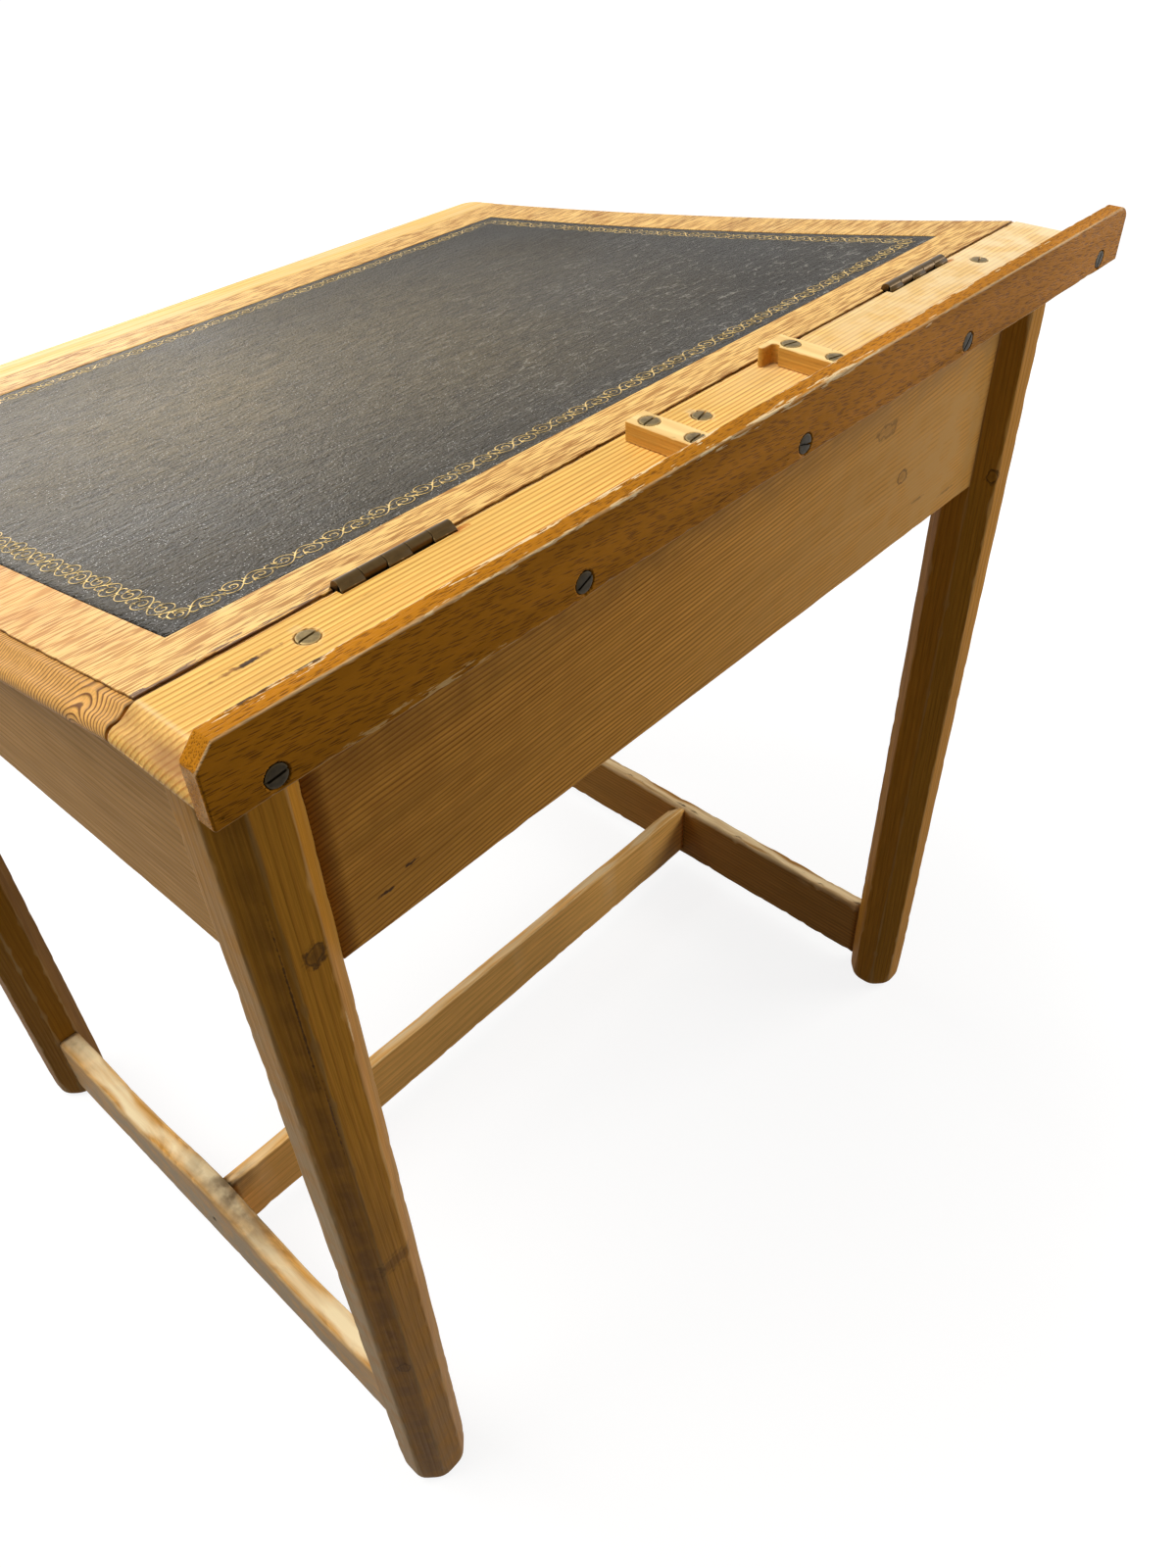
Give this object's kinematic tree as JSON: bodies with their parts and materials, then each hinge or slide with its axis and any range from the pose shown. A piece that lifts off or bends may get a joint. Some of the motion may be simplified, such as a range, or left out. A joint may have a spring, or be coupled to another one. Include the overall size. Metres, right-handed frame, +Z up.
{
  "type": "school writing desk",
  "caption": "Slope-topped wooden writing desk with a hinged lid over a shallow compartment, an inset leather writing panel, chamfered legs and an H stretcher.",
  "frame": {"origin": "bottom centre of the bounding box, on the floor under the desk", "axes": "+Z up; the sitter is on the -Y side and faces +Y, so the hinge rail and its lip are at +Y; +X is the sitter's right"},
  "size_m": [0.622, 0.5468, 0.6814],
  "materials": {
    "pine": "waxed",
    "pine_top": "worn wax",
    "beech": "waxed",
    "oak_veneer": "worn varnish",
    "black_leather": "worn, gilt border",
    "bronzed_steel": "tarnished",
    "dull_brass": "tarnished"
  },
  "bodies": {
    "desk": {"block_screw_left_front": "dull_brass", "block_screw_left_rear": "dull_brass", "block_screw_right_front": "dull_brass", "block_screw_right_rear": "dull_brass", "bottom_board": "pine", "cleat_front": "pine", "cleat_left": "pine", "cleat_rear": "pine", "cleat_right": "pine", "cross_stretcher": "pine", "front_panel": "pine", "hinge_left_pin": "bronzed_steel", "hinge_left_rail_leaf": "bronzed_steel", "hinge_left_rail_leaf_screw_1": "bronzed_steel", "hinge_left_rail_leaf_screw_2": "bronzed_steel", "hinge_rail": "pine_top", "hinge_right_pin": "bronzed_steel", "hinge_right_rail_leaf": "bronzed_steel", "hinge_right_rail_leaf_screw_1": "bronzed_steel", "hinge_right_rail_leaf_screw_2": "bronzed_steel", "leg_front_left": "pine", "leg_front_right": "pine", "leg_rear_left": "pine", "leg_rear_right": "pine", "lip_screw_1": "bronzed_steel", "lip_screw_2": "bronzed_steel", "lip_screw_3": "bronzed_steel", "lip_screw_4": "bronzed_steel", "lip_screw_5": "bronzed_steel", "rail_screw_1": "dull_brass", "rail_screw_2": "dull_brass", "rail_screw_3": "dull_brass", "rear_lip": "beech", "rear_panel": "pine", "side_panel_left": "pine", "side_panel_right": "pine", "stop_block_left": "pine_top", "stop_block_right": "pine_top", "stretcher_left": "pine", "stretcher_nail_left": "bronzed_steel", "stretcher_nail_right": "bronzed_steel", "stretcher_right": "pine"},
    "lid": {"hinge_left_lid_leaf": "bronzed_steel", "hinge_left_lid_leaf_screw_1": "bronzed_steel", "hinge_left_lid_leaf_screw_2": "bronzed_steel", "hinge_right_lid_leaf": "bronzed_steel", "hinge_right_lid_leaf_screw_1": "bronzed_steel", "hinge_right_lid_leaf_screw_2": "bronzed_steel", "leather_panel": "black_leather", "lid_board": "pine", "lid_nosing": "pine_top", "lid_veneer": "oak_veneer"}
  },
  "joints": [
    {"name": "lid_hinge", "type": "hinge", "parent": "desk", "child": "lid", "pos_m": [0, 0.21375, 0.6634], "axis": [-1, 0, 0], "range_deg": [0, 120]}
  ]
}
